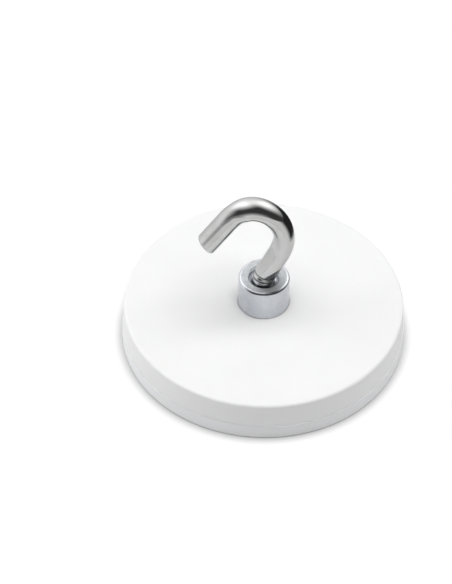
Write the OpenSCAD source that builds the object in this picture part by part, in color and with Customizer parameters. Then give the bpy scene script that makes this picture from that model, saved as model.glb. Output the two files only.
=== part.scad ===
// Rubber-coated pot magnet with a screw-in open hook.
// The underside of the rubber disc rests on z = 0, the threaded bush stands on the Z axis,
// and the hook bends in the XZ plane with its free end towards -X.

/* [Jacket] */
// Diameter of the rubber jacket at its top edge
jacket_d = 43; // [42:0.5:48]
// How far the side wall leans outwards between the top edge and the foot
jacket_flare = 0.3; // [0:0.05:0.4]
// Height of the rubber-coated disc
jacket_h = 6.9; // [6.7:0.1:8]
// Height of the seam between the base pad and the top jacket
seam_h = 2.6; // [2:0.1:3.2]
// Thickness of the rubber between the magnets and the holding face
skin_t = 0.8; // [0.6:0.1:0.9]
// Rounding of the jacket's edges
edge_r = 0.4; // [0.2:0.1:0.6]
// How far the rubber climbs up the bush
boss_rise = 0.3; // [0:0.1:0.5]
// Width of the slope on which it climbs
boss_w = 3; // [1:0.5:5]

/* [Magnets and yoke] */
// Diameter of one magnet disc
magnet_d = 9; // [7:0.5:9.5]
// Thickness of one magnet disc
magnet_h = 3; // [2.5:0.1:3]
// Diameter of the circle on which the magnet discs stand
magnet_circle_d = 27; // [26:0.5:29]
// Diameter of the steel yoke plate
yoke_d = 40; // [39.5:0.1:40.3]
// Thickness of the steel yoke plate
yoke_t = 2; // [1.6:0.1:2.2]

/* [Threaded bush] */
// Diameter of the bush above the rubber
bush_d = 7.8; // [7:0.1:9]
// Height of the bush above the flat top of the rubber
bush_proud = 5.5; // [5.2:0.1:8]
// Extra radius of the bush at its foot
bush_flare = 0.1; // [0:0.05:0.3]
// Diameter of the countersunk mouth
mouth_d = 5; // [4.6:0.1:5.4]
// Diameter of the spigot that passes through the yoke plate
spigot_d = 6.5; // [5.6:0.1:6.8]

/* [Hook] */
// Diameter of the hook's wire
wire_d = 3.4; // [3.1:0.1:3.6]
// Radius of the bend at the neck, on the wire's centre line
neck_r = 3; // [2:0.5:4]
// Angle at which the stem leans away from the vertical
stem_lean = 25; // [15:1:30]
// Length of the straight leaning stem
stem_l = 4.75; // [4:0.25:8]
// Radius of the wide bend at the back of the hook
back_r = 6.8; // [5:0.1:8]
// Angle of the wide bend
back_turn = 79; // [70:1:95]
// Length of the short straight between the two bends
crown_l = 0.4; // [0.2:0.1:2]
// Radius of the tight bend over the front of the hook
nose_r = 3.5; // [3:0.1:6]
// Angle of the tight bend
nose_turn = 92; // [60:1:95]
// Length of the straight free end
tip_l = 6.7; // [3:0.1:7]

/* [Hidden] */

magnet_count = 8;
fit_gap = 0.05;

// Heights of the stack inside the jacket
magnet_top = skin_t + magnet_h;
yoke_top = magnet_top + yoke_t;
bush_top = jacket_h + bush_proud;

// Radii of the jacket
jacket_r = jacket_d / 2;
foot_r = jacket_r + jacket_flare;
cavity_r = yoke_d / 2 + fit_gap;

// Coarse M4 thread, cut as rings on the standard pitch
pitch = 0.7;
thread_crest_r = 1.95;
thread_root_r = 1.55;
crest_flat = 0.09;
thread_gap = 0.08;
full_turns = 8;
fading_turns = 2;
thread_start = skin_t + magnet_h + 0.8;
shank_end = thread_start - 0.2;

// The bush
bush_r = bush_d / 2;
bush_foot_r = bush_r + bush_flare;
bush_foot_h = 1;
bush_edge = 0.2;
collar_r = spigot_d / 2 + 1;
collar_h = 0.8;
bore_floor = magnet_top;
tapped_turns = ceil((bush_top - thread_start) / pitch);
countersink_h = mouth_d / 2 - thread_root_r - thread_gap;

// The hook's wire: radius of its straight runs, their lap into the bends, and the end's chamfer
run_r = wire_d / 2 - 0.01;
lap = 0.05;
tip_chamfer = 0.3;

// How far below the bush's top the hook's neck starts to bend
neck_drop = 0.3;

fine = 96;
wire_fn = 48;

// Points along an arc in the profile plane
function arc_points(centre, r, from, to, steps) = [
    for (i = [0:steps])
        let (a = from + (to - from) * i / steps)
        [centre[0] + r * cos(a), centre[1] + r * sin(a)]
];

// Radius of the side wall at a height, leaning in a straight line from foot to top
function wall_r(z) = foot_r + (jacket_r - foot_r) * z / jacket_h;

// One thread ring, as profile points from its lower root to its upper root
function ring_points(turn, crest, root) =
    let (
        mid = thread_start + (turn + 0.5) * pitch,
        rise = (crest - root) * tan(30)
    ) [
        [root, mid - crest_flat / 2 - rise],
        [crest, mid - crest_flat / 2],
        [crest, mid + crest_flat / 2],
        [root, mid + crest_flat / 2 + rise]
    ];

// A ringed rod from z_low to z_high with one ring for each crest radius, larger all round by grow.
// The first ring is number first_turn, counted from the start of the shank's thread.
module threaded_rod(first_turn, crests, z_low, z_high, grow) {
    root = thread_root_r + grow;
    rings = [for (i = [0:len(crests) - 1]) each ring_points(first_turn + i, crests[i] + grow, root)];
    rotate_extrude($fn = fine)
        polygon(concat([[0, z_low], [root, z_low]], rings, [[root, z_high], [0, z_high]]));
}

// Places its children at one magnet's seat
module at_magnet(number) {
    rotate([0, 0, (number - 0.5) * 360 / magnet_count])
        translate([magnet_circle_d / 2, 0, skin_t])
            children();
}

module top_jacket() {
    color([0.95, 0.95, 0.94])
        rotate_extrude($fn = fine * 2)
            polygon(concat(
                [[cavity_r, seam_h], [wall_r(seam_h), seam_h]],
                arc_points([jacket_r - edge_r, jacket_h - edge_r], edge_r, 0, 90, 6),
                [
                    [bush_foot_r + fit_gap + boss_w, jacket_h],
                    [bush_foot_r + fit_gap, jacket_h + boss_rise],
                    [bush_foot_r + fit_gap, yoke_top],
                    [cavity_r, yoke_top]
                ]
            ));
}

module base_pad() {
    color([0.92, 0.92, 0.93])
        difference() {
            rotate_extrude($fn = fine * 2)
                polygon(concat(
                    [[0, 0]],
                    arc_points([wall_r(edge_r) - edge_r, edge_r], edge_r, -90, 0, 6),
                    [
                        [wall_r(seam_h), seam_h],
                        [cavity_r - fit_gap, seam_h],
                        [cavity_r - fit_gap, magnet_top],
                        [0, magnet_top]
                    ]
                ));
            for (number = [1:magnet_count])
                at_magnet(number)
                    cylinder(h = magnet_h + 1, d = magnet_d + 2 * fit_gap, $fn = fine);
            translate([0, 0, magnet_top - collar_h - fit_gap])
                cylinder(h = collar_h + 1, r = collar_r + fit_gap, $fn = fine);
        }
}

module yoke_plate() {
    color([0.62, 0.62, 0.65])
        translate([0, 0, magnet_top])
            difference() {
                cylinder(h = yoke_t, d = yoke_d, $fn = fine * 2);
                translate([0, 0, -1])
                    cylinder(h = yoke_t + 2, d = spigot_d + 2 * fit_gap, $fn = fine);
            }
}

module threaded_bush() {
    mouth_r = mouth_d / 2;
    tapped_crests = [for (i = [0:tapped_turns]) thread_crest_r];
    color([0.76, 0.78, 0.81])
        difference() {
            rotate_extrude($fn = fine)
                polygon([
                    [0, magnet_top - collar_h],
                    [collar_r - collar_h / 2, magnet_top - collar_h],
                    [collar_r, magnet_top - collar_h / 2],
                    [collar_r, magnet_top],
                    [spigot_d / 2, magnet_top],
                    [spigot_d / 2, yoke_top],
                    [bush_foot_r, yoke_top],
                    [bush_foot_r, jacket_h + boss_rise + bush_foot_h * 0.3],
                    [bush_r + bush_flare * 0.3, jacket_h + boss_rise + bush_foot_h],
                    [bush_r, bush_top - bush_edge],
                    [bush_r - bush_edge, bush_top],
                    [0, bush_top]
                ]);
            threaded_rod(-1, tapped_crests, bore_floor, bush_top + pitch, thread_gap);
            translate([0, 0, bush_top - countersink_h])
                cylinder(h = countersink_h + 1, r1 = mouth_r - countersink_h, r2 = mouth_r + 1, $fn = fine);
        }
}

module magnet(number) {
    edge = 0.2;
    color([0.80, 0.79, 0.76])
        at_magnet(number)
            rotate_extrude($fn = fine)
                polygon([
                    [0, 0], [magnet_d / 2 - edge, 0], [magnet_d / 2, edge],
                    [magnet_d / 2, magnet_h - edge], [magnet_d / 2 - edge, magnet_h], [0, magnet_h]
                ]);
}

// A straight run of wire along +Z, with its children at the far end.
// It is a hair thinner than the bends and laps into them, so that all runs join into one solid.
module straight(run) {
    translate([0, 0, -lap])
        cylinder(h = run + 2 * lap, r = run_r, $fn = wire_fn);
    translate([0, 0, run])
        children();
}

// A bend of wire that starts along +Z and turns towards side (1 is +X, -1 is -X),
// with its children at the far end
module bend(r, turn, side) {
    mirror([side > 0 ? 1 : 0, 0, 0])
        translate([-r, 0, 0])
            rotate([90, 0, 0])
                rotate_extrude(angle = turn, $fn = fine)
                    translate([r, 0])
                        circle(d = wire_d, $fn = wire_fn);
    translate([side * r * (1 - cos(turn)), 0, r * sin(turn)])
        rotate([0, side * turn, 0])
            children();
}

// The last straight run, cut square with a chamfered edge
module free_end(run) {
    rotate_extrude($fn = wire_fn)
        polygon([
            [0, -lap], [run_r, -lap],
            [run_r, run - tip_chamfer], [run_r - tip_chamfer, run], [0, run]
        ]);
}

module hook() {
    all_turns = full_turns + fading_turns;
    shank_crests = [for (i = [0:all_turns - 1]) i < full_turns ? thread_crest_r : wire_d / 2];
    shank_top = thread_start + all_turns * pitch;
    color([0.78, 0.79, 0.80]) {
        threaded_rod(0, shank_crests, thread_start, shank_top, 0);
        translate([0, 0, shank_end])
            cylinder(h = thread_start - shank_end, r1 = thread_root_r - 0.2, r2 = thread_root_r, $fn = fine);
        translate([0, 0, shank_top])
            straight(bush_top - neck_drop - shank_top)
                bend(neck_r, stem_lean, 1)
                    straight(stem_l)
                        bend(back_r, back_turn, -1)
                            straight(crown_l)
                                bend(nose_r, nose_turn, -1)
                                    free_end(tip_l);
    }
}

top_jacket();
base_pad();
yoke_plate();
threaded_bush();
magnet(1);  // magnet_1
magnet(2);  // magnet_2
magnet(3);  // magnet_3
magnet(4);  // magnet_4
magnet(5);  // magnet_5
magnet(6);  // magnet_6
magnet(7);  // magnet_7
magnet(8);  // magnet_8
hook();
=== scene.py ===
"""Rubber-coated hook magnet: the detailed pieces and materials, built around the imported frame.

Lengths named in millimetres are turned into metres by MM, and every place comes from the frame.
The hook bends in the XZ plane with its free end towards -X, and the camera stands on the -Y side.
"""

import math

import bmesh
import bpy
from mathutils import Matrix, Vector


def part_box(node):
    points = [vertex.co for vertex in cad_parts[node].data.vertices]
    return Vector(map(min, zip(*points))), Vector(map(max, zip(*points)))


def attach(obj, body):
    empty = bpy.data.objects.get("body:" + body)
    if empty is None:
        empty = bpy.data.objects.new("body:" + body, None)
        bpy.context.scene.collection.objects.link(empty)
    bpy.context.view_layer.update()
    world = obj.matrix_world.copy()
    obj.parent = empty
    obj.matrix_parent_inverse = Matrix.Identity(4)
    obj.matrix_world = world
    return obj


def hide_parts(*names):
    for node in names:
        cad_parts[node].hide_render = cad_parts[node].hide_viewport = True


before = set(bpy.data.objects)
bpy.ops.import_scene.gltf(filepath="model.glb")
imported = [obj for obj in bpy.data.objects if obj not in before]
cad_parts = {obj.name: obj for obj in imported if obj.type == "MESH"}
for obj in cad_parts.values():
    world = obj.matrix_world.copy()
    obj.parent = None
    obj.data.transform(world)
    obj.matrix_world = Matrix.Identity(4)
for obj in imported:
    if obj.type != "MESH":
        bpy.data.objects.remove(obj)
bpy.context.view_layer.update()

MM = 0.001

# Places taken from the frame
pad_low, pad_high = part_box("base_pad")
cap_low, cap_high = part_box("top_jacket")
yoke_low, yoke_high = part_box("yoke_plate")
bush_low, bush_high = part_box("threaded_bush")
hook_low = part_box("hook")[0]
magnet_names = sorted(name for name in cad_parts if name.startswith("magnet_"))

FOOT_R = pad_high.x
SEAM_Z = cap_low.z
# The rubber climbs up the bush's foot by this much above the flat top, over this width
BOSS_RISE = 0.3 * MM
BOSS_W = 3 * MM
CAP_Z = cap_high.z - BOSS_RISE
YOKE_R = yoke_high.x
YOKE_Z0 = yoke_low.z
YOKE_Z1 = yoke_high.z
BUSH_Z = bush_high.z
COLLAR_R = bush_high.x
COLLAR_Z = bush_low.z
SHANK_Z = hook_low.z
# The hook's neck starts to bend just inside the bush's mouth
NECK_Z = BUSH_Z - 0.3 * MM


# ---------------------------------------------------------------- camera

# The camera was solved from the rim of the disc: it looks down at the middle of the top face
VIEW_ELEVATION = math.radians(46.57)
VIEW_AZIMUTH = math.radians(-4.2)
VIEW_ROLL = math.radians(0.71)
VIEW_DISTANCE = 422 * MM
LENS = 169.4
# How far the middle of the top face lies from the view's centre, right and down
AIM_RIGHT = 5.75 * MM
AIM_DOWN = 1.40 * MM


def make_camera():
    """The camera at the photograph's viewing angle, with the object a little right of the centre."""
    back_flat = Vector((math.sin(VIEW_AZIMUTH), -math.cos(VIEW_AZIMUTH), 0))
    back = back_flat * math.cos(VIEW_ELEVATION) + Vector((0, 0, math.sin(VIEW_ELEVATION)))
    level_right = Vector((0, 0, 1)).cross(back).normalized()
    level_up = back.cross(level_right)
    right = level_right * math.cos(VIEW_ROLL) + level_up * math.sin(VIEW_ROLL)
    up = back.cross(right)
    place = Vector((0, 0, CAP_Z)) + back * VIEW_DISTANCE - right * AIM_RIGHT + up * AIM_DOWN
    data = bpy.data.cameras.new("camera")
    data.sensor_width = 36
    data.lens = LENS
    data.clip_start = 0.02
    data.clip_end = 20
    camera = bpy.data.objects.new("camera", data)
    turn = Matrix((right, up, back)).transposed()
    camera.matrix_world = Matrix.Translation(place) @ turn.to_4x4()
    bpy.context.scene.collection.objects.link(camera)
    bpy.context.scene.camera = camera


# ---------------------------------------------------------------- mesh helpers

def add_mesh(name, vertices, faces, sharp_angle=35):
    """A smooth-shaded mesh object in the scene, with edges sharper than the angle kept crisp."""
    mesh = bpy.data.meshes.new(name)
    mesh.from_pydata(vertices, [], faces)
    mesh.validate()
    mesh.polygons.foreach_set("use_smooth", [True] * len(mesh.polygons))
    mesh.set_sharp_from_angle(angle=math.radians(sharp_angle))
    piece = bpy.data.objects.new(name, mesh)
    bpy.context.scene.collection.objects.link(piece)
    return piece


def arc(centre_r, centre_z, radius, start, end, steps):
    """Profile points along an arc, angles in degrees."""
    points = []
    for i in range(steps + 1):
        a = math.radians(start + (end - start) * i / steps)
        points.append((centre_r + radius * math.cos(a), centre_z + radius * math.sin(a)))
    return points


def line(start, end, steps):
    """Profile points strictly between two ends, so that a long run can be displaced."""
    return [
        (start[0] + (end[0] - start[0]) * i / steps, start[1] + (end[1] - start[1]) * i / steps)
        for i in range(1, steps)
    ]


def revolve(name, profile, segments, move=None, sharp_angle=35):
    """Turns a closed profile of (radius, height) about Z. A point on the axis becomes one pole.
    The profile runs anticlockwise with the radius to the right, and move(x, y, z) may shift a point."""
    vertices, rings = [], []
    for radius, height in profile:
        count = 1 if radius < 1e-9 else segments
        rings.append((len(vertices), count))
        for j in range(count):
            a = 2 * math.pi * j / segments
            point = (radius * math.cos(a), radius * math.sin(a), height)
            vertices.append(move(*point) if move else point)
    faces = []
    for i, (first, first_count) in enumerate(rings):
        second, second_count = rings[(i + 1) % len(rings)]
        for j in range(segments):
            k = (j + 1) % segments
            if first_count == 1 and second_count == 1:
                break
            if first_count == 1:
                faces.append((first, second + k, second + j))
            elif second_count == 1:
                faces.append((first + j, first + k, second))
            else:
                faces.append((first + j, first + k, second + k, second + j))
    return add_mesh(name, vertices, faces, sharp_angle)


def smooth_step(x):
    """0 below 0, 1 above 1 and a soft rise between."""
    x = min(max(x, 0.0), 1.0)
    return x * x * (3 - 2 * x)


# ---------------------------------------------------------------- material helpers

class Surface:
    """One node material, with short calls for the nodes that the finishes share."""

    def __init__(self, name):
        self.material = bpy.data.materials.new(name)
        self.material.use_nodes = True
        self.tree = self.material.node_tree
        self.shader = self.tree.nodes["Principled BSDF"]
        self.place = self.node("ShaderNodeTexCoord").outputs["Object"]

    def node(self, kind, **settings):
        made = self.tree.nodes.new(kind)
        for key, value in settings.items():
            setattr(made, key, value)
        return made

    def link(self, source, target):
        self.tree.links.new(source, target)

    def noise(self, grain_mm, detail=2.0, roughness=0.5, stretch=(1, 1, 1)):
        """Noise whose features are about grain_mm across, stretched along the axes."""
        scaled = self.node("ShaderNodeMapping")
        scaled.inputs["Scale"].default_value = [1 / (grain_mm * MM * s) for s in stretch]
        self.link(self.place, scaled.inputs["Vector"])
        made = self.node("ShaderNodeTexNoise")
        made.inputs["Scale"].default_value = 1.0
        made.inputs["Detail"].default_value = detail
        made.inputs["Roughness"].default_value = roughness
        self.link(scaled.outputs["Vector"], made.inputs["Vector"])
        return made.outputs["Fac"]

    def math(self, operation, first, second=0.0, clamp=False):
        made = self.node("ShaderNodeMath", operation=operation, use_clamp=clamp)
        for socket, value in zip(made.inputs, (first, second)):
            if isinstance(value, (int, float)):
                socket.default_value = value
            else:
                self.link(value, socket)
        return made.outputs[0]

    def spread(self, value, low, high, to_low, to_high):
        """Maps low..high to to_low..to_high, clamped."""
        made = self.node("ShaderNodeMapRange", clamp=True)
        for socket, number in zip(made.inputs[1:5], (low, high, to_low, to_high)):
            socket.default_value = number
        self.link(value, made.inputs[0])
        return made.outputs[0]

    def blend(self, factor, first, second):
        """Mixes two colours by a factor from 0 to 1."""
        made = self.node("ShaderNodeMix", data_type="RGBA")
        self.link(factor, made.inputs[0])
        for socket, value in zip((made.inputs[6], made.inputs[7]), (first, second)):
            if isinstance(value, tuple):
                socket.default_value = (*value, 1)
            else:
                self.link(value, socket)
        return made.outputs[2]

    def colour(self, output):
        self.link(output, self.shader.inputs["Base Color"])

    def roughness(self, output):
        self.link(output, self.shader.inputs["Roughness"])

    def bump(self, layers):
        """Chains bumps, each a (height, depth_mm, strength) layer."""
        normal = None
        for height, depth_mm, strength in layers:
            made = self.node("ShaderNodeBump")
            made.inputs["Strength"].default_value = strength
            made.inputs["Distance"].default_value = depth_mm * MM
            self.link(height, made.inputs["Height"])
            if normal is not None:
                self.link(normal, made.inputs["Normal"])
            normal = made.outputs["Normal"]
        self.link(normal, self.shader.inputs["Normal"])

    def axis_values(self):
        """Radius from the Z axis and height, both in metres, as outputs."""
        split = self.node("ShaderNodeSeparateXYZ")
        self.link(self.place, split.inputs[0])
        squares = [self.math("MULTIPLY", split.outputs[i], split.outputs[i]) for i in (0, 1)]
        radius = self.math("SQRT", self.math("ADD", squares[0], squares[1]))
        return radius, split.outputs[2]


def use(piece, material):
    """Gives a piece one material, in all its slots."""
    if not piece.data.materials:
        piece.data.materials.append(material)
    for i in range(len(piece.data.materials)):
        piece.data.materials[i] = material


# ---------------------------------------------------------------- materials

def rubber(name, colour, shade):
    """Matte moulded rubber: a fine grain, faint cloudiness, and a few pale scuffs and specks."""
    s = Surface(name)
    cloud = s.noise(7, detail=3)
    fine = s.noise(0.16, detail=3, roughness=0.6)
    scuff = s.spread(s.noise(1.6, detail=5, roughness=0.7, stretch=(1.5, 0.6, 1)), 0.66, 0.74, 0, 1)
    speck = s.spread(s.noise(0.45, detail=1), 0.80, 0.86, 0, 1)
    base = s.blend(s.spread(cloud, 0.35, 0.65, 0, 1), shade, colour)
    grained = s.blend(s.spread(fine, 0.3, 0.7, 0, 0.5), base, tuple(c * 0.97 for c in colour))
    worn = s.blend(s.math("MULTIPLY", scuff, 0.35), grained, tuple(min(1.0, c * 1.04) for c in colour))
    s.colour(s.blend(s.math("MULTIPLY", speck, 0.35), worn, (0.55, 0.54, 0.52)))
    rough = s.math("SUBTRACT", s.spread(fine, 0.3, 0.7, 0.52, 0.68), s.math("MULTIPLY", scuff, 0.06))
    s.roughness(rough)
    s.shader.inputs["Specular IOR Level"].default_value = 0.35
    s.shader.inputs["Subsurface Weight"].default_value = 0.08
    s.shader.inputs["Subsurface Radius"].default_value = (0.9 * MM, 0.8 * MM, 0.7 * MM)
    s.shader.inputs["Subsurface Scale"].default_value = 1.0
    s.bump([(fine, 0.02, 0.5), (s.noise(0.9, detail=2), 0.02, 0.3)])
    return s.material


def drawn_zinc():
    """Bright zinc plate on drawn wire: a soft mirror with a faint grain and a few dull clouds."""
    s = Surface("hook_bright_zinc")
    cloud = s.noise(2.4, detail=4)
    grain = s.noise(0.14, detail=3, roughness=0.6)
    tint = s.blend(s.spread(cloud, 0.35, 0.65, 0, 1), (0.575, 0.578, 0.57), (0.625, 0.628, 0.625))
    pits = s.spread(s.noise(0.35, detail=2), 0.74, 0.80, 0, 0.5)
    s.colour(s.blend(pits, tint, (0.42, 0.43, 0.43)))
    s.shader.inputs["Specular Tint"].default_value = (0.72, 0.72, 0.72, 1)
    rough = s.math("ADD", s.spread(cloud, 0.3, 0.7, 0.07, 0.11), s.spread(grain, 0.3, 0.7, 0.0, 0.04))
    s.roughness(rough)
    s.shader.inputs["Metallic"].default_value = 1.0
    s.bump([(grain, 0.004, 0.5), (s.noise(0.9, detail=2), 0.01, 0.35)])
    return s.material


def turned_zinc():
    """Blue-white zinc plate on turned steel: a flaked top, a smoother side, a bright edge and mouth."""
    s = Surface("bush_satin_zinc")
    radius, height = s.axis_values()
    rings = s.node("ShaderNodeTexNoise", noise_dimensions="1D")
    s.link(s.math("MULTIPLY", s.math("ADD", radius, height), 1 / (0.07 * MM)), rings.inputs["W"])
    rings.inputs["Scale"].default_value = 1.0
    rings.inputs["Detail"].default_value = 2.0
    grain = s.noise(0.13, detail=3, roughness=0.65)
    cloud = s.noise(2.2, detail=3)
    level = s.spread(height, BUSH_Z - 0.02 * MM, BUSH_Z - 0.01 * MM, 0, 1)
    bevel_r = BUSH_R - BUSH_BEVEL
    on_top = s.math("MULTIPLY", level, s.spread(radius, bevel_r - 0.06 * MM, bevel_r, 1, 0))
    in_mouth = s.spread(radius, MOUTH_R, MOUTH_R + 0.05 * MM, 0.5, 0)
    edge = s.spread(height, BUSH_Z - BUSH_EDGE, BUSH_Z - BUSH_EDGE + 0.02 * MM, 0, 1)
    chamfer = s.math("SUBTRACT", edge, on_top, clamp=True)
    bright = s.math("MAXIMUM", in_mouth, chamfer)
    tint = s.blend(s.spread(cloud, 0.35, 0.65, 0, 1), (0.61, 0.628, 0.675), (0.67, 0.685, 0.72))
    frosted = s.blend(on_top, tint, (0.58, 0.595, 0.61))
    flakes = s.noise(0.34, detail=3, roughness=0.7)
    crystals = s.math("MULTIPLY", s.spread(flakes, 0.42, 0.62, 0, 1), on_top)
    flaked = s.blend(s.math("MULTIPLY", crystals, 0.45), frosted, (0.38, 0.395, 0.41))
    s.colour(s.blend(s.spread(grain, 0.35, 0.75, 0, 0.4), flaked, (0.44, 0.47, 0.49)))
    soft = s.math("ADD", s.spread(cloud, 0.3, 0.7, 0.20, 0.26), s.math("MULTIPLY", on_top, 0.06))
    rough = s.math("ADD", soft, s.spread(grain, 0.3, 0.7, 0.0, 0.08))
    s.roughness(s.math("SUBTRACT", rough, s.math("MULTIPLY", bright, 0.14)))
    s.shader.inputs["Metallic"].default_value = 1.0
    outside = s.spread(radius, MOUTH_R, MOUTH_R + 0.05 * MM, 0, 1)
    turned = s.math("MULTIPLY", rings.outputs["Fac"], outside)
    frost = s.math("MULTIPLY", s.math("MULTIPLY", grain, outside), s.spread(on_top, 0, 1, 0.5, 1.6))
    s.bump([(turned, 0.004, 0.35), (frost, 0.010, 0.7), (crystals, 0.05, 0.8)])
    return s.material


def punched_steel():
    """Mild steel sheet: rolled grain along one way, with dull oil clouds."""
    s = Surface("yoke_punched_steel")
    rolled = s.noise(0.25, detail=4, stretch=(14, 1, 1))
    cloud = s.noise(6, detail=3)
    tint = s.blend(s.spread(cloud, 0.35, 0.65, 0, 1), (0.40, 0.40, 0.42), (0.54, 0.54, 0.56))
    s.colour(s.blend(s.spread(rolled, 0.4, 0.7, 0, 0.4), tint, (0.30, 0.30, 0.31)))
    s.roughness(s.spread(rolled, 0.3, 0.7, 0.30, 0.48))
    s.shader.inputs["Metallic"].default_value = 1.0
    s.bump([(rolled, 0.01, 0.4)])
    return s.material


def nickel_plate():
    """Bright nickel over sintered magnet: a warm mirror with a slight orange-peel."""
    s = Surface("magnet_nickel_plate")
    peel = s.noise(0.3, detail=2)
    cloud = s.noise(3, detail=2)
    tint = s.blend(s.spread(cloud, 0.35, 0.65, 0, 1), (0.60, 0.57, 0.52), (0.68, 0.65, 0.60))
    s.colour(tint)
    s.roughness(s.spread(peel, 0.3, 0.7, 0.12, 0.22))
    s.shader.inputs["Metallic"].default_value = 1.0
    s.bump([(peel, 0.006, 0.4)])
    return s.material


# ---------------------------------------------------------------- jacket

EDGE_R = 0.42 * MM
SEAM_EDGE = 0.03 * MM
SEAM_LEDGE = 0.09 * MM
TOP_R = 21.5 * MM
CAVITY_GAP = 0.05 * MM
JACKET_SEGMENTS = 256


def wall_r(height):
    """Radius of the jacket's leaning side wall."""
    return FOOT_R + (TOP_R - FOOT_R) * height / CAP_Z


def mould_waver(x, y, depth):
    """How far moulded rubber strays outwards in one direction, up to about depth."""
    a = math.atan2(y, x)
    slow = math.sin(3 * a + 0.6) + 0.7 * math.sin(5 * a + 2.1) + 0.4 * math.sin(9 * a + 4.0)
    return depth * slow / 2.1


def cap_piece():
    """The top jacket: flat top with a soft rounded rim, a lip round the bush, and the upper side wall."""
    cavity_r = YOKE_R + CAVITY_GAP
    hole_r = BUSH_FOOT_R + 0.02 * MM
    lip = 0.05 * MM
    top_edge = (TOP_R - EDGE_R, CAP_Z)
    profile = [(cavity_r, SEAM_Z)]
    profile += arc(wall_r(SEAM_Z) - SEAM_EDGE, SEAM_Z + SEAM_EDGE, SEAM_EDGE, -90, 0, 4)
    profile += line((wall_r(SEAM_Z), SEAM_Z + SEAM_EDGE), (TOP_R, CAP_Z - EDGE_R), 10)
    profile += arc(TOP_R - EDGE_R, CAP_Z - EDGE_R, EDGE_R, 0, 90, 8)
    profile += line(top_edge, (hole_r + lip, CAP_Z), 36)
    profile += arc(hole_r + lip, CAP_Z - lip, lip, 90, 180, 5)
    profile += [(hole_r, YOKE_Z1), (cavity_r, YOKE_Z1)]

    def move(x, y, z):
        radius = math.hypot(x, y)
        outside = smooth_step((radius - cavity_r - 0.3 * MM) / (0.5 * MM)) if z < CAP_Z - 2 * EDGE_R else 0
        grow = 1 + mould_waver(x, y, 0.025 * MM) * outside / radius
        sag = 0.0
        if z > CAP_Z - 0.01 * MM:
            across = math.sin(math.pi * min(max((radius - hole_r) / (TOP_R - hole_r), 0), 1))
            sag = across * (0.05 * MM + 0.02 * MM * math.sin(2 * math.atan2(y, x) + 0.8))
            sag -= BOSS_RISE * (1 - smooth_step((radius - hole_r) / BOSS_W))
        return (x * grow, y * grow, z - sag)

    return revolve("jacket_cap", profile, JACKET_SEGMENTS, move)


def pad_piece():
    """The base pad: lower side wall, a soft foot, the holding face, and seats for the magnets."""
    core_r = YOKE_R
    foot_edge = 0.45 * MM
    ledge_r = wall_r(SEAM_Z) + SEAM_LEDGE
    gate_r = 1.6 * MM
    gate_depth = 0.12 * MM
    collar_gap = 0.05 * MM
    profile = [(0, gate_depth), (gate_r - 0.3 * MM, gate_depth), (gate_r, 0)]
    profile += line((gate_r, 0), (wall_r(0) - foot_edge, 0), 48)
    profile += arc(wall_r(0) - foot_edge, foot_edge, foot_edge, -90, 0, 7)
    profile += line((wall_r(0), foot_edge), (ledge_r, SEAM_Z - SEAM_EDGE), 5)
    profile += arc(ledge_r - SEAM_EDGE, SEAM_Z - SEAM_EDGE, SEAM_EDGE, 0, 90, 4)
    profile += [
        (core_r, SEAM_Z), (core_r, YOKE_Z0),
        (COLLAR_R + collar_gap, YOKE_Z0),
        (COLLAR_R + collar_gap, COLLAR_Z - collar_gap), (0, COLLAR_Z - collar_gap),
    ]
    seats = [(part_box(name)[0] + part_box(name)[1]) / 2 for name in magnet_names]
    seat_r = (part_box(magnet_names[0])[1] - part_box(magnet_names[0])[0]).x / 2

    def move(x, y, z):
        radius = math.hypot(x, y)
        outside = smooth_step((radius - core_r - 0.3 * MM) / (0.5 * MM)) if z > foot_edge else 0
        grow = 1 + mould_waver(x, y, 0.02 * MM) * outside / max(radius, 1e-9)
        rise = 0.0
        if z < 0.01 * MM and radius > gate_r:
            inside = max(smooth_step((seat_r - math.dist((x, y), (c.x, c.y))) / (0.8 * MM)) for c in seats)
            rise = 0.07 * MM * (1 - inside) * smooth_step((wall_r(0) - 1.2 * MM - radius) / (1.0 * MM))
        return (x * grow, y * grow, z + rise)

    pad = revolve("base_pad_rubber", profile, JACKET_SEGMENTS, move)
    cut_seats(pad, seats, seat_r + CAVITY_GAP)
    return pad


def cut_seats(pad, seats, radius):
    """Cuts a round seat for each magnet into the pad's hidden upper side."""
    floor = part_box(magnet_names[0])[0].z
    height = 6 * MM
    cutter_mesh = bpy.data.meshes.new("seat_cutter")
    cutter_bm = bmesh.new()
    for c in seats:
        bmesh.ops.create_cone(
            cutter_bm, cap_ends=True, segments=64, radius1=radius, radius2=radius, depth=height,
            matrix=Matrix.Translation((c.x, c.y, floor + height / 2)),
        )
    cutter_bm.to_mesh(cutter_mesh)
    cutter_bm.free()
    cutter = bpy.data.objects.new("seat_cutter", cutter_mesh)
    bpy.context.scene.collection.objects.link(cutter)
    cut = pad.modifiers.new("seats", "BOOLEAN")
    cut.operation = "DIFFERENCE"
    cut.solver = "EXACT"
    cut.object = cutter
    bpy.context.view_layer.objects.active = pad
    bpy.ops.object.modifier_apply(modifier=cut.name)
    bpy.data.objects.remove(cutter)
    pad.data.polygons.foreach_set("use_smooth", [True] * len(pad.data.polygons))
    pad.data.set_sharp_from_angle(angle=math.radians(35))


# ---------------------------------------------------------------- bush

BUSH_R = 3.88 * MM
BUSH_FOOT_R = 4.0 * MM
BUSH_EDGE = 0.24 * MM
BUSH_BEVEL = 0.36 * MM
MOUTH_R = 2.5 * MM
PITCH = 0.7 * MM
THREAD_START = SHANK_Z + 0.2 * MM
THREAD_TURNS = 8
ROOT_R = 1.55 * MM
CREST_R = 1.95 * MM
THREAD_GAP = 0.08 * MM
# Above this height the threads are drawn as true helices, and below it as plain rings
HELIX_Z = BUSH_Z - 0.9 * MM


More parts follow.
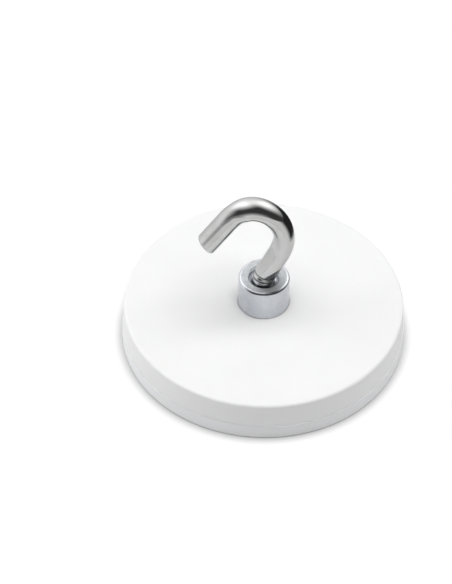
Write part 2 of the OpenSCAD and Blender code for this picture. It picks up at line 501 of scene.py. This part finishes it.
def tooth(phase):
    """One thread tooth with its crest at phase 0.5: flat root, straight flanks, narrow flat crest."""
    return min(max((0.395 - abs(phase - 0.5)) / 0.33, 0.0), 1.0)


def helix_tooth(height, angle):
    """The same thread as a helix, with soft roots and crests, where it can be seen."""
    return 0.5 - 0.5 * math.cos(2 * math.pi * height / PITCH - angle)


def bore_radius(height, angle):
    """The tapped bore: plain rings deep inside, and a true helix where it runs out into the mouth."""
    rings = tooth(((height - THREAD_START) / PITCH) % 1.0)
    depth = helix_tooth(height, angle) if height > HELIX_Z else rings
    return ROOT_R + THREAD_GAP + (CREST_R - ROOT_R) * depth


def bush_piece():
    """The turned bush: riveted collar, spigot, flared foot, chamfered top, mouth and tapped bore."""
    spigot_r = 3.25 * MM
    collar_edge = 0.4 * MM
    edge = BUSH_EDGE
    foot_z = CAP_Z + BOSS_RISE + 0.3 * MM
    waist_z = CAP_Z + BOSS_RISE + 1.0 * MM
    profile = [
        (0, COLLAR_Z), (COLLAR_R - collar_edge, COLLAR_Z), (COLLAR_R, COLLAR_Z + collar_edge),
        (COLLAR_R, YOKE_Z0), (spigot_r, YOKE_Z0), (spigot_r, YOKE_Z1), (BUSH_FOOT_R, YOKE_Z1),
        (BUSH_FOOT_R, foot_z), (BUSH_FOOT_R - 0.02 * MM, foot_z + 0.15 * MM),
        (BUSH_R + 0.03 * MM, waist_z - 0.15 * MM), (BUSH_R, waist_z + 0.15 * MM),
    ]
    profile += line((BUSH_R, waist_z), (BUSH_R, BUSH_Z - edge), 6)
    profile += [(BUSH_R, BUSH_Z - edge), (BUSH_R - 0.02 * MM, BUSH_Z - edge + 0.03 * MM)]
    # The chamfer rolls over onto the top in a wide soft bevel
    roll_r = (BUSH_BEVEL - 0.12 * MM) / math.cos(math.radians(50))
    profile += arc(BUSH_R - BUSH_BEVEL, BUSH_Z - roll_r, roll_r, 50, 90, 8)
    profile += line((BUSH_R - BUSH_BEVEL, BUSH_Z), (MOUTH_R + 0.05 * MM, BUSH_Z), 5)
    profile += arc(MOUTH_R + 0.05 * MM, BUSH_Z - 0.05 * MM, 0.05 * MM, 90, 150, 3)
    # The bore is stepped down on the smallest radius it can have, and move() opens it out
    bore_top = BUSH_Z - 0.06 * MM
    steps = math.ceil((bore_top - YOKE_Z0) / (0.05 * MM))
    core = ROOT_R + THREAD_GAP
    profile += [(core, bore_top - (bore_top - YOKE_Z0) * i / steps) for i in range(steps + 1)]
    profile += [(0, YOKE_Z0)]

    def move(x, y, z):
        radius = math.hypot(x, y)
        if abs(radius - core) > 0.001 * MM or z < YOKE_Z0 + 0.01 * MM:
            return (x, y, z)
        grow = max(MOUTH_R - (BUSH_Z - z), bore_radius(z, math.atan2(y, x))) / radius
        return (x * grow, y * grow, z)

    return revolve("bush_turned", profile, 160, move, sharp_angle=28)


# ---------------------------------------------------------------- hook

WIRE_R = 1.69 * MM
FLAT_IN = 1.60 * MM
FLAT_OUT = 2.03 * MM
NECK_R = 3 * MM
STEM_LEAN = 25
STEM_L = 4.75 * MM
BACK_R = 6.9 * MM
BACK_TURN = 79
CROWN_L = 0.4 * MM
NOSE_R = 3.15 * MM
NOSE_TURN = 92
# The wire takes this length, either side, to ease into and out of a bend
EASE = 1.9 * MM
TIP_L = 7.08 * MM
TIP_ROUND = 0.2 * MM
TIP_BULGE = 0.10 * MM
TIP_SKEW = 0.35 * MM
HOOK_SEGMENTS = 96


def hook_path(step):
    """Stations (length so far, x, z, heading in radians) from the shank's end to the tip."""
    runs = [
        ("straight", NECK_Z - SHANK_Z, 0),
        ("bend", NECK_R, -STEM_LEAN),
        ("straight", STEM_L, 0),
        ("bend", BACK_R, BACK_TURN),
        ("straight", CROWN_L, 0),
        ("bend", NOSE_R, NOSE_TURN),
        ("straight", TIP_L, 0),
    ]
    bits = []
    for kind, size, turn in runs:
        run = size if kind == "straight" else size * math.radians(abs(turn))
        count = max(1, round(run / step))
        bits += [(run / count, math.radians(turn) / count)] * count
    # Wire eases into and out of a bend, so each swing is averaged with its neighbours past the stem
    first_eased = round((NECK_Z - SHANK_Z + NECK_R * math.radians(STEM_LEAN) + STEM_L / 2) / step)
    reach = round(EASE / step)
    length, x, z, heading = 0.0, 0.0, SHANK_Z, math.pi / 2
    stations = [(length, x, z, heading)]
    for i, (bit, swing) in enumerate(bits):
        if i >= first_eased:
            near = bits[max(i - reach, first_eased):i + reach + 1]
            swing = sum(other[1] for other in near) / (2 * reach + 1)
        x += bit * math.cos(heading + swing / 2)
        z += bit * math.sin(heading + swing / 2)
        heading += swing
        length += bit
        stations.append((length, x, z, heading))
    return stations


def ring_height(length):
    """0 at a thread's root and 1 at its crest, for plain rings along the shank."""
    place = (length + SHANK_Z - THREAD_START) / PITCH
    return tooth(place - math.floor(place))


def hook_radius(length, angle):
    """Radius of the shank and wire before the bends flatten it."""
    height = SHANK_Z + length
    thread_end = THREAD_START + THREAD_TURNS * PITCH
    bare_end = BUSH_Z - 0.85 * MM
    fade_end = BUSH_Z + 1.2 * MM
    if height < THREAD_START:
        return ROOT_R - (THREAD_START - height)
    if height < thread_end:
        return ROOT_R + (CREST_R - ROOT_R) * ring_height(length)
    if height < bare_end:
        return ROOT_R
    # Above the bore the thread is a true helix that runs out into the plain wire
    fade_in = smooth_step((height - bare_end) / (0.25 * MM))
    plain = smooth_step((height - fade_end + 0.5 * MM) / (0.5 * MM))
    helix = ROOT_R + (WIRE_R + 0.02 * MM - ROOT_R) * helix_tooth(height, angle) * fade_in
    return helix + (WIRE_R - helix) * plain


def plain_radius(_length, _angle):
    """Radius of the wire at its cut end."""
    return WIRE_R


def flattening(length, bend_start, bend_end):
    """How far the bending tool has squeezed the wire, from 0 to 1."""
    rise = smooth_step((length - bend_start) / (3.6 * MM))
    fall = smooth_step((bend_end - length) / (2.4 * MM))
    return rise * fall


def hook_piece():
    """The hook: one wire with a threaded shank, squeezed a little where it bends, cut square at the tip."""
    fine = hook_path(0.05 * MM)
    neck_end = NECK_Z - SHANK_Z + NECK_R * math.radians(STEM_LEAN)
    bend_start = neck_end + STEM_L
    bend_end = fine[-1][0] - TIP_L
    thread_end = BUSH_Z - SHANK_Z + 1.5 * MM
    stations = [fine[0]]
    for station in fine[1:-1]:
        gap = 0.05 * MM if station[0] < thread_end else 0.22 * MM
        if station[0] - stations[-1][0] >= gap * 0.99:
            stations.append(station)
    stations = [s for s in stations if s[0] < fine[-1][0] - TIP_BULGE - TIP_ROUND - TIP_SKEW - 0.1 * MM]
    last = fine[-1]
    along = Vector((math.cos(last[3]), 0, math.sin(last[3])))
    vertices, faces, rings = [], [], []

    def add_ring(centre, heading, shrink, length, radius_of, skew=0.0):
        squeeze = flattening(length, bend_start, bend_end)
        inward = Vector((-math.sin(heading), 0, math.cos(heading)))
        ahead = Vector((math.cos(heading), 0, math.sin(heading)))
        rings.append(len(vertices))
        for j in range(HOOK_SEGMENTS):
            a = 2 * math.pi * j / HOOK_SEGMENTS
            radius = radius_of(length, a)
            in_plane = radius + (FLAT_IN - WIRE_R) * squeeze - shrink
            sideways = radius + (FLAT_OUT - WIRE_R) * squeeze - shrink
            # Angle 0 points to +X on the shank, and turns towards +Y
            across = Vector((0, sideways * math.sin(a), 0)) - inward * (in_plane * math.cos(a))
            vertices.append(centre + across - ahead * (skew * math.cos(a) * in_plane / WIRE_R))

    for length, x, z, heading in stations:
        add_ring(Vector((x, 0, z)), heading, 0.0, length, hook_radius)
    # The cut end: sheared a little out of square, with a soft edge and a face that bulges
    end = Vector((last[1], 0, last[2]))
    edge_steps = 6
    for i in range(edge_steps + 1):
        a = math.radians(90 * i / edge_steps)
        centre = end - along * (TIP_BULGE + TIP_ROUND * (1 - math.sin(a)))
        add_ring(centre, last[3], TIP_ROUND * (1 - math.cos(a)), last[0], plain_radius, TIP_SKEW)
    for share in (0.66, 0.33):
        centre = end - along * (TIP_BULGE * share * share)
        shrink = WIRE_R - (WIRE_R - TIP_ROUND) * share
        add_ring(centre, last[3], shrink, last[0], plain_radius, TIP_SKEW)
    for low, high in zip(rings, rings[1:]):
        for j in range(HOOK_SEGMENTS):
            k = (j + 1) % HOOK_SEGMENTS
            faces.append((low + j, low + k, high + k, high + j))
    bottom, top = len(vertices), len(vertices) + 1
    vertices.append(Vector((0, 0, SHANK_Z)))
    vertices.append(end)
    for j in range(HOOK_SEGMENTS):
        k = (j + 1) % HOOK_SEGMENTS
        faces.append((bottom, rings[0] + k, rings[0] + j))
        faces.append((top, rings[-1] + j, rings[-1] + k))
    return add_mesh("hook_wire", vertices, faces, 40)


# ---------------------------------------------------------------- stage

# How brightly the floor glows within its near distance and beyond its far one
FLOOR_GLOW = 0.72
FLOOR_GLOW_FAR = 0.93
FLOOR_NEAR = 60 * MM
FLOOR_FAR = 700 * MM
# Reach of the contact shadow round the disc's foot
FLOOR_SHADOW = 1.4 * MM


def make_floor():
    """A wide white table top that can be looked through from below."""
    mesh_bm = bmesh.new()
    bmesh.ops.create_grid(mesh_bm, x_segments=1, y_segments=1, size=2.5)
    mesh = bpy.data.meshes.new("floor")
    mesh_bm.to_mesh(mesh)
    mesh_bm.free()
    floor = bpy.data.objects.new("floor", mesh)
    bpy.context.scene.collection.objects.link(floor)
    floor.location.z = pad_low.z - 0.02 * MM
    s = Surface("floor_white")
    s.shader.inputs["Base Color"].default_value = (0.28, 0.28, 0.28, 1)
    s.shader.inputs["Roughness"].default_value = 0.9
    s.shader.inputs["Specular IOR Level"].default_value = 0.1
    s.shader.inputs["Emission Color"].default_value = (1, 1, 1, 1)
    # The glow grows with distance, to make up for the lamps' light that falls off
    radius, _ = s.axis_values()
    glow = s.spread(radius, FLOOR_NEAR, FLOOR_FAR, FLOOR_GLOW, FLOOR_GLOW_FAR)
    # It fades against the disc's foot, which leaves a contact shadow, but still lights the underside
    open_sky = s.node("ShaderNodeAmbientOcclusion", samples=8)
    open_sky.inputs["Distance"].default_value = FLOOR_SHADOW
    shade = s.math("SUBTRACT", 1.0, open_sky.outputs["AO"])
    outside = s.spread(radius, FOOT_R - 0.5 * MM, FOOT_R - 0.4 * MM, 0, 1)
    left = s.math("SUBTRACT", 1.0, s.math("MULTIPLY", shade, outside))
    s.link(s.math("MULTIPLY", glow, left), s.shader.inputs["Emission Strength"])
    facing = s.node("ShaderNodeNewGeometry")
    mixed = s.node("ShaderNodeMixShader")
    s.link(facing.outputs["Backfacing"], mixed.inputs[0])
    s.link(s.shader.outputs[0], mixed.inputs[1])
    s.link(s.node("ShaderNodeBsdfTransparent").outputs[0], mixed.inputs[2])
    s.link(mixed.outputs[0], s.tree.nodes["Material Output"].inputs["Surface"])
    mesh.materials.append(s.material)


def towards(azimuth, elevation):
    """The direction to a light, from angles in degrees. Azimuth 0 is at the back (+Y), 90 at +X."""
    az, el = math.radians(azimuth), math.radians(elevation)
    return Vector((math.sin(az) * math.cos(el), math.cos(az) * math.cos(el), math.sin(el)))


def softbox(name, azimuth, elevation, distance, size, radiance):
    """A flat light that faces the object and shines on matte things only."""
    data = bpy.data.lights.new(name, "AREA")
    data.shape = "RECTANGLE"
    data.size, data.size_y = size
    data.energy = radiance * math.pi * size[0] * size[1]
    light = bpy.data.objects.new(name, data)
    away = towards(azimuth, elevation)
    light.location = away * distance
    light.rotation_euler = away.to_track_quat("Z", "Y").to_euler()
    light.visible_glossy = False
    light.visible_camera = False
    bpy.context.scene.collection.objects.link(light)


# Soft lights round the room, in degrees: where each one is, its radius and the width of its soft edge
ROOM_DARK = 0.05
ROOM_LIGHTS = {
    "back_left_softbox": {"azimuth": -29, "elevation": 60, "radius": 15, "soft": 76, "brightness": 2.3},
    "back_right_softbox": {"azimuth": 46, "elevation": 33, "radius": 20, "soft": 59, "brightness": 2.3},
    "left_wall": {"azimuth": -46, "elevation": -20, "radius": 70, "soft": 40, "brightness": 0.95},
    "front_table_edge": {"azimuth": -179, "elevation": -13, "radius": 26, "soft": 64, "brightness": 1.03},
}


def make_room():
    """A dim room with soft lights at the back and on the left, and plain pale to the camera itself."""
    world = bpy.data.worlds.new("room")
    bpy.context.scene.world = world
    world.use_nodes = True
    tree = world.node_tree
    direction = tree.nodes.new("ShaderNodeTexCoord").outputs["Generated"]
    total = None
    for light in ROOM_LIGHTS.values():
        along = tree.nodes.new("ShaderNodeVectorMath")
        along.operation = "DOT_PRODUCT"
        tree.links.new(direction, along.inputs[0])
        along.inputs[1].default_value = towards(light["azimuth"], light["elevation"])
        off = tree.nodes.new("ShaderNodeMath")
        off.operation = "ARCCOSINE"
        tree.links.new(along.outputs["Value"], off.inputs[0])
        fall = tree.nodes.new("ShaderNodeMapRange")
        fall.interpolation_type = "SMOOTHSTEP"
        fall.inputs["From Min"].default_value = math.radians(light["radius"] + light["soft"] / 2)
        fall.inputs["From Max"].default_value = math.radians(light["radius"] - light["soft"] / 2)
        fall.inputs["To Max"].default_value = light["brightness"]
        tree.links.new(off.outputs[0], fall.inputs["Value"])
        added = tree.nodes.new("ShaderNodeMath")
        added.operation = "ADD"
        added.inputs[0].default_value = ROOM_DARK
        if total is not None:
            tree.links.new(total, added.inputs[0])
        tree.links.new(fall.outputs["Result"], added.inputs[1])
        total = added.outputs[0]
    room = tree.nodes["Background"]
    room.inputs["Color"].default_value = (1, 1, 1, 1)
    tree.links.new(total, room.inputs["Strength"])
    pale = tree.nodes.new("ShaderNodeBackground")
    pale.inputs["Color"].default_value = (0.93, 0.93, 0.94, 1)
    path = tree.nodes.new("ShaderNodeLightPath")
    mixed = tree.nodes.new("ShaderNodeMixShader")
    tree.links.new(path.outputs["Is Camera Ray"], mixed.inputs[0])
    tree.links.new(room.outputs[0], mixed.inputs[1])
    tree.links.new(pale.outputs[0], mixed.inputs[2])
    tree.links.new(mixed.outputs[0], tree.nodes["World Output"].inputs["Surface"])
    world.cycles_visibility.diffuse = False
    bpy.context.scene.view_settings.view_transform = "Standard"


FLAG_REACH = 2400 * MM
FLAG_SOFT_SIDE = 26


def make_flag(name, height, azimuths, fade, density):
    """One dark card on the table that only reflections see. It gives the metal its dark edges.
    It covers two azimuths, fades in between two distances from the axis, and fades at both sides."""
    low, high, soft = (math.radians(a) for a in (*azimuths, FLAG_SOFT_SIDE))
    near, full = fade
    steps = 48
    first, last = max(low, -math.pi), min(high, math.pi)
    vertices, faces = [], []
    for i in range(steps + 1):
        a = first + (last - first) * i / steps
        for reach in (near, FLAG_REACH):
            vertices.append((reach * math.sin(a), reach * math.cos(a), 0))
        if i:
            faces.append((2 * i - 2, 2 * i, 2 * i + 1, 2 * i - 1))
    flag = add_mesh(name, vertices, faces)
    flag.location.z = height
    s = Surface(name + "_dark")
    split = s.node("ShaderNodeSeparateXYZ")
    s.link(s.place, split.inputs[0])
    turn = s.math("ARCTAN2", split.outputs[0], split.outputs[1])
    low_side = s.spread(turn, low, low + soft, 0, 1)
    high_side = s.spread(turn, high - soft, high, 1, 0)
    reach, _ = s.axis_values()
    distance = s.spread(reach, near, full, 0, density)
    cover = s.math("MULTIPLY", s.math("MULTIPLY", low_side, high_side), distance)
    s.shader.inputs["Base Color"].default_value = (0.02, 0.02, 0.02, 1)
    s.shader.inputs["Specular IOR Level"].default_value = 0.0
    s.link(cover, s.shader.inputs["Alpha"])
    use(flag, s.material)
    flag.visible_camera = False
    flag.visible_diffuse = False
    flag.visible_shadow = False
    flag.visible_transmission = False


def make_lights():
    """An overhead softbox, a lamp on each side for the soft double shadow, and cards for the side wall."""
    softbox("overhead", 180, 87, 1.2, (1.0, 1.0), 4.15)
    softbox("lamp_right", 77, 57, 1.0, (0.45, 0.45), 2.9)
    softbox("lamp_left", -77, 50, 1.0, (0.5, 0.5), 1.2)
    softbox("card_left", -75, 10, 0.8, (0.9, 0.4), 2.3)
    softbox("card_right", 85, 10, 0.8, (0.8, 0.4), 0.65)


# ---------------------------------------------------------------- assembly

def place(piece, body, slot, material, *replaced):
    """Hangs a detailed piece on its body in place of the CAD nodes that it stands for."""
    use(piece, material)
    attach(piece, body)
    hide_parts(*replaced)


make_camera()
make_floor()
make_room()
make_flag("flag_back_right", 0.1 * MM, azimuths=(10, 122), fade=(27 * MM, 38 * MM), density=1.0)
make_flag("flag_front_left", 0.2 * MM, azimuths=(-172, -104), fade=(80 * MM, 160 * MM), density=0.68)
make_flag("flag_all_round", 0.3 * MM, azimuths=(-230, 230), fade=(24 * MM, 34 * MM), density=0.2)
make_lights()

cap_rubber = rubber("cap_rubber", (0.885, 0.886, 0.886), (0.868, 0.869, 0.869))
base_rubber = rubber("base_rubber", (0.872, 0.877, 0.887), (0.858, 0.863, 0.873))
place(cap_piece(), "magnet_base", "jacket_rubber", cap_rubber, "top_jacket")
place(pad_piece(), "magnet_base", "pad_rubber", base_rubber, "base_pad")
place(bush_piece(), "magnet_base", "bush_zinc", turned_zinc(), "threaded_bush")
place(hook_piece(), "hook", "hook_zinc", drawn_zinc(), "hook")

nickel = nickel_plate()
for magnet_name in magnet_names:
    use(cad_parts[magnet_name], nickel)
use(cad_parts["yoke_plate"], punched_steel())
